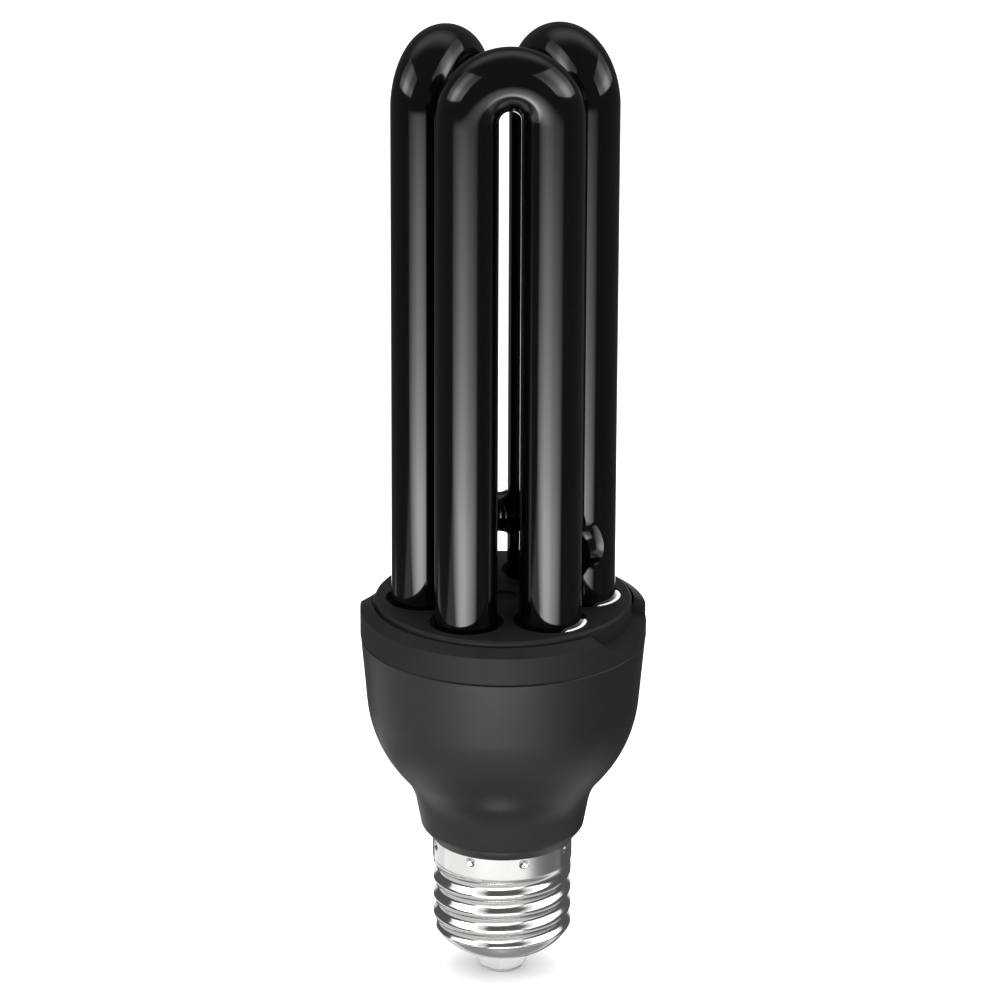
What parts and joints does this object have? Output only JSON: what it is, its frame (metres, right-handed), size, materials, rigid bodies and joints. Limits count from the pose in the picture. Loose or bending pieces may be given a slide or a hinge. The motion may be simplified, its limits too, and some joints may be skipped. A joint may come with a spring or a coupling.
{
  "type": "uv bug light bulb",
  "caption": "Black-glass compact fluorescent UV lamp: U-bent discharge tubes on a moulded ballast housing with an E27 screw cap, for insect traps and black light.",
  "frame": {"origin": "on the lamp's axis, on the face of the centre contact", "axes": "+Z along the axis from the cap to the tube bends, -Y the pictured front, +X to the right in the picture"},
  "size_m": [0.0536, 0.0536, 0.1853],
  "materials": {
    "black_glass": "polished, opaque to visible light",
    "white_cement": "matt",
    "black_moulding": "fine satin moulding",
    "nickel_plate": "bright nickel plate",
    "white_insulator": "glazed",
    "tinned_wire": "tinned",
    "board_laminate": "paper laminate",
    "ferrite": "sintered",
    "dark_plastic": "moulded",
    "enamelled_copper": "enamelled",
    "aluminium_can": "sleeved",
    "film_capacitor": "dipped"
  },
  "bodies": {
    "root": {"discharge_tube": "black_glass", "tube_cement": "white_cement", "tube_plate": "black_moulding", "ballast_housing": "black_moulding", "screw_shell": "nickel_plate", "cap_insulator": "white_insulator", "centre_contact": "nickel_plate", "filament_leads": "tinned_wire", "circuit_board": "board_laminate", "choke_core": "ferrite", "choke_bobbin": "dark_plastic", "choke_winding": "enamelled_copper", "smoothing_capacitor": "aluminium_can", "resonant_capacitor": "film_capacitor", "coupling_capacitor": "film_capacitor", "drive_toroid": "ferrite", "toroid_windings": "enamelled_copper", "switching_transistors": "dark_plastic", "rectifier_diodes": "dark_plastic", "trigger_diode": "dark_plastic", "base_resistors": "film_capacitor", "filter_inductor": "ferrite", "fuse_resistor": "film_capacitor", "line_lead": "tinned_wire"}
  },
  "joints": []
}
